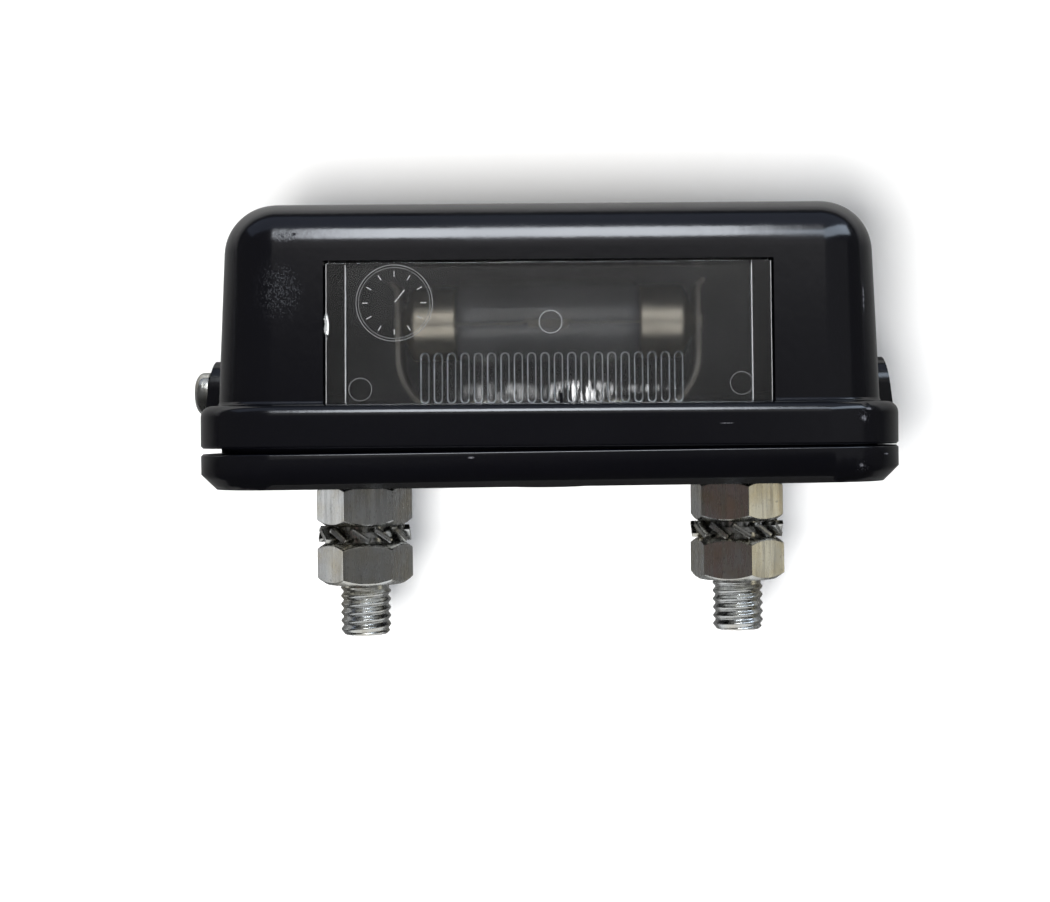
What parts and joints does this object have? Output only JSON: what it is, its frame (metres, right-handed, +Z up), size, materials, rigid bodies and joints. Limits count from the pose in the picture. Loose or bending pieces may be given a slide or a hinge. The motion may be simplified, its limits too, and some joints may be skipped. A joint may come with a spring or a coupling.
{
  "type": "number plate lamp",
  "caption": "Vehicle number plate lamp: glossy black hood and base with a fluted clear window, a festoon bulb inside, and threaded studs with nuts below.",
  "frame": {"origin": "centre of the base's underside, midway between the studs", "axes": "+Z up from the base towards the hood's top, -Y towards the window, +X to the right as seen from the window's side; the studs point along -Z"},
  "size_m": [0.084, 0.042, 0.0501],
  "materials": {
    "housing": "glossy, moulded",
    "lens": "clear moulded plastic",
    "bulb_glass": "clear",
    "rubber": "matt",
    "zinc_plated": "zinc plated",
    "nickel_plated": "nickel plated",
    "wire": "drawn"
  },
  "bodies": {
    "root": {"base_plate": "housing", "hood": "housing", "lens": "lens", "lens_gasket": "rubber", "cable_grommet": "rubber", "stud_left": "zinc_plated", "stud_right": "zinc_plated", "upper_nut_left": "zinc_plated", "upper_nut_right": "zinc_plated", "lock_washer_left": "zinc_plated", "lock_washer_right": "zinc_plated", "lower_nut_left": "zinc_plated", "lower_nut_right": "zinc_plated", "cover_screw_left": "zinc_plated", "cover_screw_right": "zinc_plated", "contact_left": "nickel_plated", "contact_right": "nickel_plated", "terminal_screw_left": "zinc_plated", "terminal_screw_right": "zinc_plated", "bulb_glass": "bulb_glass", "bulb_filament": "wire", "bulb_cap_left": "nickel_plated", "bulb_cap_right": "nickel_plated"}
  },
  "joints": []
}
